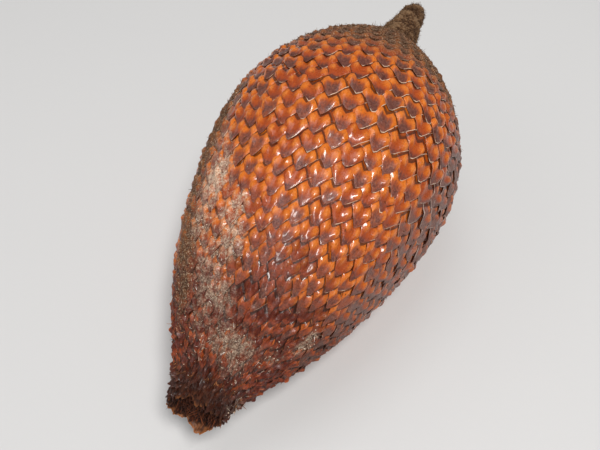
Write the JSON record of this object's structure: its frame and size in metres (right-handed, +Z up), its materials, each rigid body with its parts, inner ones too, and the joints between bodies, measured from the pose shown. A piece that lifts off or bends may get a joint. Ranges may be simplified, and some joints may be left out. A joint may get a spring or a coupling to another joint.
{
  "type": "snake fruit",
  "caption": "Scaly teardrop fruit lying on its side, with a dry blunt beak at the wide end and a torn stalk stub at the narrow end.",
  "frame": {"origin": "middle of the small flat spot on the underside that the fruit rests on", "axes": "+X along the fruit towards the tip of the beak, +Z up, +Y to the left seen from the narrow end"},
  "size_m": [0.0901, 0.0408, 0.0384],
  "materials": {
    "scaly_skin": "glossy amber-brown scales with matte purple-brown tips and a felted brown beak",
    "dry_stalk": "dry torn dark brown fibre",
    "papery_calyx": "dry papery amber-brown"
  },
  "bodies": {
    "root": {"fruit": "scaly_skin", "stalk_stub": "dry_stalk", "calyx_scrap": "papery_calyx"}
  },
  "joints": []
}
